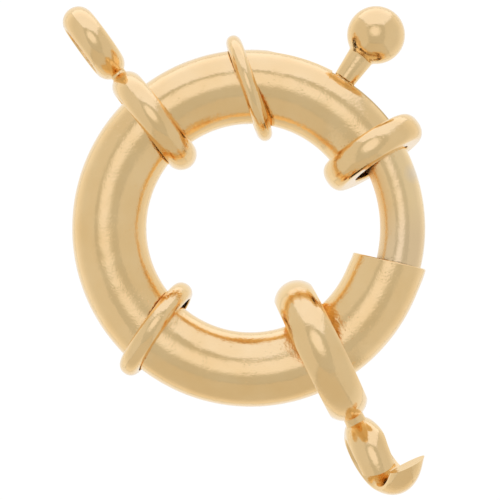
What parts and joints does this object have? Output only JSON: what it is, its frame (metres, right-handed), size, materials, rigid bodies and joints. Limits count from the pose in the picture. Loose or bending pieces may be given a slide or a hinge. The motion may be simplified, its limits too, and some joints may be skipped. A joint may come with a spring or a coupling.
{
  "type": "spring ring clasp",
  "caption": "Round hollow-tube spring ring clasp with a sliding bolt, ball lever, loose collars and two figure-eight connectors, one open and one closed.",
  "frame": {"origin": "centre of the ring, in the middle plane of its tube", "axes": "+Z out of the front of the lying clasp, away from the surface under it; +X from the ring's centre towards the gap that the bolt closes; +Y along the clasp's length, towards the lever and the closed connector"},
  "size_m": [0.0183, 0.0247, 0.0076],
  "materials": {
    "gold_plate": "polished",
    "bolt_plate": "polished",
    "spring_steel": "satin"
  },
  "bodies": {
    "ring": {"tube": "gold_plate", "end_collar": "gold_plate", "top_collar": "gold_plate", "side_collar": "gold_plate", "coil_spring": "spring_steel"},
    "sliding_bolt": {"bolt": "bolt_plate", "lever": "gold_plate"},
    "closed_link": {"closed_connector": "gold_plate"},
    "open_link": {"open_connector": "gold_plate"}
  },
  "joints": [
    {"name": "bolt_slide", "type": "hinge", "parent": "ring", "child": "sliding_bolt", "pos_m": [0, 0, 0], "axis": [0, 0, 1], "range_deg": [0, 23], "stiffness_Nm_per_rad": 0.0002, "springref_deg": -28.65, "deforming": ["coil_spring"]},
    {"name": "closed_link_slide", "type": "hinge", "parent": "ring", "child": "closed_link", "pos_m": [0, 0, 0], "axis": [0, 0, 1], "range_deg": [-28, 73]},
    {"name": "open_link_slide", "type": "hinge", "parent": "ring", "child": "open_link", "pos_m": [0, 0, 0], "axis": [0, 0, 1], "range_deg": [-57, 69]}
  ]
}
